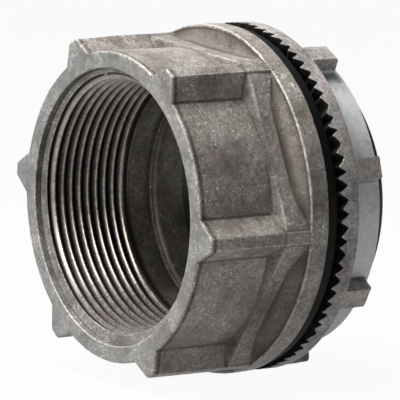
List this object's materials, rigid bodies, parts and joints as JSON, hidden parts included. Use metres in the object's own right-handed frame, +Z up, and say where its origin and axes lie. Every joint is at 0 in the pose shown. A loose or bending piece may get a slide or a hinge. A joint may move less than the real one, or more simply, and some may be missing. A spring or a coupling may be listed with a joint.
{
  "type": "hazardous location conduit connector",
  "caption": "Die-cast conduit hub: ribbed, hex-based threaded entry, flange with sealing ring, rear nipple with toothed locknut and insulated throat.",
  "frame": {"origin": "centre of the flange's rear face, where the hub seats on the enclosure wall", "axes": "+Y along the hub's axis from the conduit entry towards the enclosure's inside, +Z up"},
  "size_m": [0.0786, 0.0534, 0.0786],
  "materials": {
    "zinc_casting": "as-cast zinc alloy, satin, mottled, burnished on the edges",
    "nut_casting": "as-cast zinc alloy, rough toothed ring and lugs, smooth band",
    "black_rubber": "matt rubber",
    "green_plastic": "dark green moulded insulator"
  },
  "bodies": {
    "hub": {"hub_body": "zinc_casting", "sealing_ring": "black_rubber", "insulating_throat": "green_plastic"},
    "locknut": {"locknut": "nut_casting"}
  },
  "joints": [
    {"name": "locknut_travel", "type": "slide", "parent": "hub", "child": "locknut", "axis": [0, 1, 0], "range_m": [0, 0.00884]}
  ]
}
